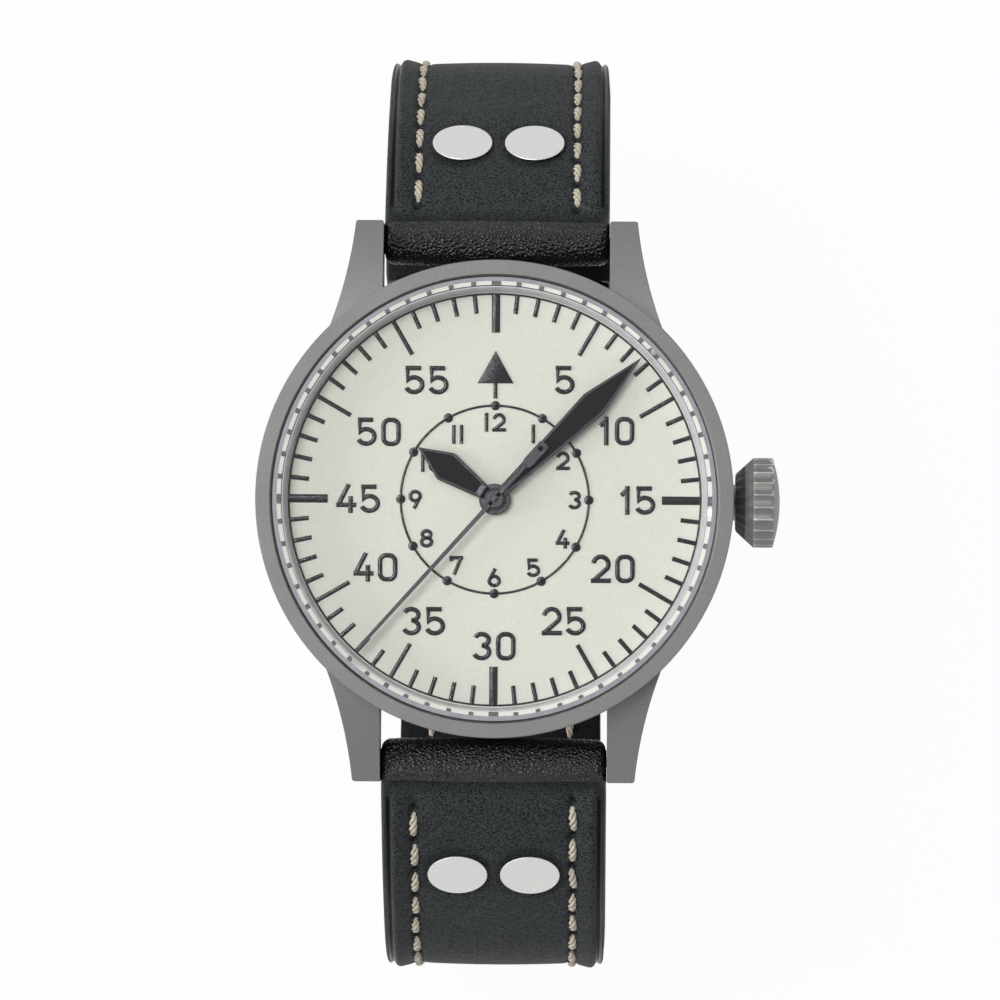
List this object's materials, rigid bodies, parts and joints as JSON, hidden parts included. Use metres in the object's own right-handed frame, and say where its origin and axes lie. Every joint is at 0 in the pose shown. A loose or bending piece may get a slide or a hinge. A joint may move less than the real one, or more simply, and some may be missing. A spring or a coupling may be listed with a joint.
{
  "type": "pilot wristwatch",
  "caption": "Round pilot wristwatch with a cream dial, black numerals, lozenge hands, onion crown and riveted leather strap.",
  "frame": {"origin": "centre of the case back's outer face", "axes": "+Z out through the crystal, +Y to twelve o'clock, +X to the crown"},
  "size_m": [0.0461, 0.0822, 0.0682],
  "materials": {
    "case_steel": "matt bead-blasted",
    "back_steel": "satin",
    "crown_steel": "matt",
    "crystal_glass": "clear",
    "seal_rubber": "satin",
    "ring_metal": "satin",
    "dial_cream": "matt",
    "dial_black": "raised gloss print",
    "hand_grey": "satin",
    "inlay_black": "matt grained",
    "holder_plastic": "matt",
    "movement_nickel": "satin nickel",
    "wheel_brass": "satin",
    "work_steel": "polished",
    "jewel_red": "polished ruby",
    "strap_leather": "matt grained",
    "rivet_steel": "matt",
    "buckle_steel": "satin"
  },
  "bodies": {
    "case": {"midcase": "case_steel", "bezel": "case_steel", "crystal": "crystal_glass", "crystal_gasket": "seal_rubber", "inner_ring": "ring_metal", "dial_plate": "dial_cream", "dial_print": "dial_black", "case_back": "back_steel", "case_back_gasket": "seal_rubber", "crown_tube": "back_steel", "movement_ring": "holder_plastic", "casing_clamps": "movement_nickel", "casing_screws": "work_steel", "mainplate": "movement_nickel", "barrel_bridge": "movement_nickel", "train_bridge": "movement_nickel", "balance_cock": "movement_nickel", "pallet_bridge": "movement_nickel", "jewels": "jewel_red", "bridge_screws": "work_steel", "click_spring": "work_steel", "rotor_screw": "work_steel", "spring_bars": "back_steel"},
    "minute_group": {"centre_wheel": "wheel_brass", "cannon_pinion": "work_steel", "minute_hand": "hand_grey", "minute_hand_inlay": "inlay_black"},
    "hour_group": {"hour_wheel": "wheel_brass", "hour_hand": "hand_grey", "hour_hand_inlay": "inlay_black"},
    "seconds_group": {"fourth_wheel": "wheel_brass", "seconds_hand": "hand_grey"},
    "third": {"third_wheel": "wheel_brass"},
    "escape": {"escape_wheel": "work_steel"},
    "minute_work": {"minute_wheel": "wheel_brass"},
    "barrel_drum": {"barrel": "wheel_brass", "mainspring": "work_steel"},
    "lever": {"pallet_fork": "work_steel", "pallet_stones": "jewel_red"},
    "balance": {"balance_wheel": "wheel_brass", "hairspring": "work_steel"},
    "winding_sleeve": {"winding_pinion": "work_steel", "sliding_pinion": "work_steel"},
    "crown_set": {"crown": "crown_steel", "crown_gasket": "seal_rubber", "winding_stem": "work_steel"},
    "crown_gear": {"crown_wheel": "work_steel"},
    "ratchet": {"ratchet_wheel": "work_steel", "barrel_arbor": "work_steel"},
    "click_lever": {"click": "work_steel"},
    "rotor_weight": {"rotor": "movement_nickel"},
    "reverser": {"reversing_wheel": "wheel_brass"},
    "strap_upper": {"strap_12": "strap_leather", "rivets_12": "rivet_steel", "keeper_fixed": "strap_leather"},
    "strap_lower": {"strap_6": "strap_leather", "rivets_6": "rivet_steel"},
    "keeper_loose": {"keeper_free": "strap_leather"},
    "buckle": {"buckle_frame": "buckle_steel"},
    "tongue": {"buckle_tongue": "buckle_steel"}
  },
  "joints": [
    {"name": "minute_turn", "type": "hinge", "parent": "case", "child": "minute_group", "pos_m": [0, 0, 0.007], "axis": [0, 0, 1], "continuous": true},
    {"name": "hour_turn", "type": "hinge", "parent": "case", "child": "hour_group", "pos_m": [0, 0, 0.0072], "axis": [0, 0, 1], "continuous": true},
    {"name": "seconds_turn", "type": "hinge", "parent": "case", "child": "seconds_group", "pos_m": [0, 0, 0.004], "axis": [0, 0, 1], "continuous": true},
    {"name": "third_turn", "type": "hinge", "parent": "case", "child": "third", "pos_m": [0.002, -0.0055, 0.004], "axis": [0, 0, 1], "continuous": true},
    {"name": "escape_turn", "type": "hinge", "parent": "case", "child": "escape", "pos_m": [-0.00485, -0.00339, 0.004], "axis": [0, 0, 1], "continuous": true},
    {"name": "minute_wheel_turn", "type": "hinge", "parent": "case", "child": "minute_work", "pos_m": [-0.0023, 0.00193, 0.007], "axis": [0, 0, 1], "continuous": true},
    {"name": "barrel_turn", "type": "hinge", "parent": "case", "child": "barrel_drum", "pos_m": [0.00215, 0.00592, 0.004], "axis": [0, 0, 1], "continuous": true},
    {"name": "lever_swing", "type": "hinge", "parent": "case", "child": "lever", "pos_m": [-0.00674, -0.00472, 0.005], "axis": [0, 0, 1], "range_deg": [-5, 5]},
    {"name": "balance_swing", "type": "hinge", "parent": "case", "child": "balance", "pos_m": [-0.00893, -0.00625, 0.004], "axis": [0, 0, 1], "range_deg": [-270, 270], "stiffness_Nm_per_rad": 0.0000004, "deforming": ["hairspring"]},
    {"name": "crown_turn", "type": "hinge", "parent": "case", "child": "winding_sleeve", "pos_m": [0.01, 0, 0.005], "axis": [1, 0, 0], "continuous": true},
    {"name": "crown_pull", "type": "slide", "parent": "winding_sleeve", "child": "crown_set", "axis": [1, 0, 0], "range_m": [0, 0.0015]},
    {"name": "crown_wheel_turn", "type": "hinge", "parent": "case", "child": "crown_gear", "pos_m": [0.00811, 0, 0.0025], "axis": [0, 0, 1], "continuous": true},
    {"name": "ratchet_turn", "type": "hinge", "parent": "case", "child": "ratchet", "pos_m": [0.00215, 0.00592, 0.0025], "axis": [0, 0, 1], "continuous": true, "deforming": ["mainspring"]},
    {"name": "click_lift", "type": "hinge", "parent": "case", "child": "click_lever", "pos_m": [0.0012, 0.01134, 0.0022], "axis": [0, 0, -1], "range_deg": [0, 6], "deforming": ["click_spring"]},
    {"name": "rotor_turn", "type": "hinge", "parent": "case", "child": "rotor_weight", "pos_m": [0, 0, 0.0017], "axis": [0, 0, 1], "continuous": true},
    {"name": "reversing_turn", "type": "hinge", "parent": "case", "child": "reverser", "pos_m": [-0.00355, -0.00129, 0.002], "axis": [0, 0, 1], "continuous": true},
    {"name": "strap_12_swing", "type": "hinge", "parent": "case", "child": "strap_upper", "pos_m": [0, 0.023, 0.0035], "axis": [1, 0, 0], "range_deg": [-10, 50]},
    {"name": "strap_6_swing", "type": "hinge", "parent": "case", "child": "strap_lower", "pos_m": [0, -0.023, 0.0035], "axis": [-1, 0, 0], "range_deg": [0, 50]},
    {"name": "keeper_slide", "type": "slide", "parent": "strap_upper", "child": "keeper_loose", "axis": [0, -0.9848, 0.1736], "range_m": [0, 0.006]},
    {"name": "buckle_swing", "type": "hinge", "parent": "strap_upper", "child": "buckle", "pos_m": [0, 0.00521, -0.03259], "axis": [1, 0, 0], "range_deg": [-40, 40]},
    {"name": "tongue_swing", "type": "hinge", "parent": "buckle", "child": "tongue", "pos_m": [0, 0.00521, -0.03259], "axis": [1, 0, 0], "range_deg": [0, 90]}
  ],
  "couplings": [
    {"joint": "hour_turn", "follows": "minute_turn", "ratio": 0.083333},
    {"joint": "seconds_turn", "follows": "minute_turn", "ratio": 60},
    {"joint": "third_turn", "follows": "minute_turn", "ratio": -8},
    {"joint": "escape_turn", "follows": "minute_turn", "ratio": -720},
    {"joint": "minute_wheel_turn", "follows": "minute_turn", "ratio": -0.33333},
    {"joint": "barrel_turn", "follows": "minute_turn", "ratio": -0.15385},
    {"joint": "crown_wheel_turn", "follows": "crown_turn", "ratio": 0.6087},
    {"joint": "ratchet_turn", "follows": "crown_turn", "ratio": -0.6087},
    {"joint": "reversing_turn", "follows": "rotor_turn", "ratio": -0.8}
  ]
}
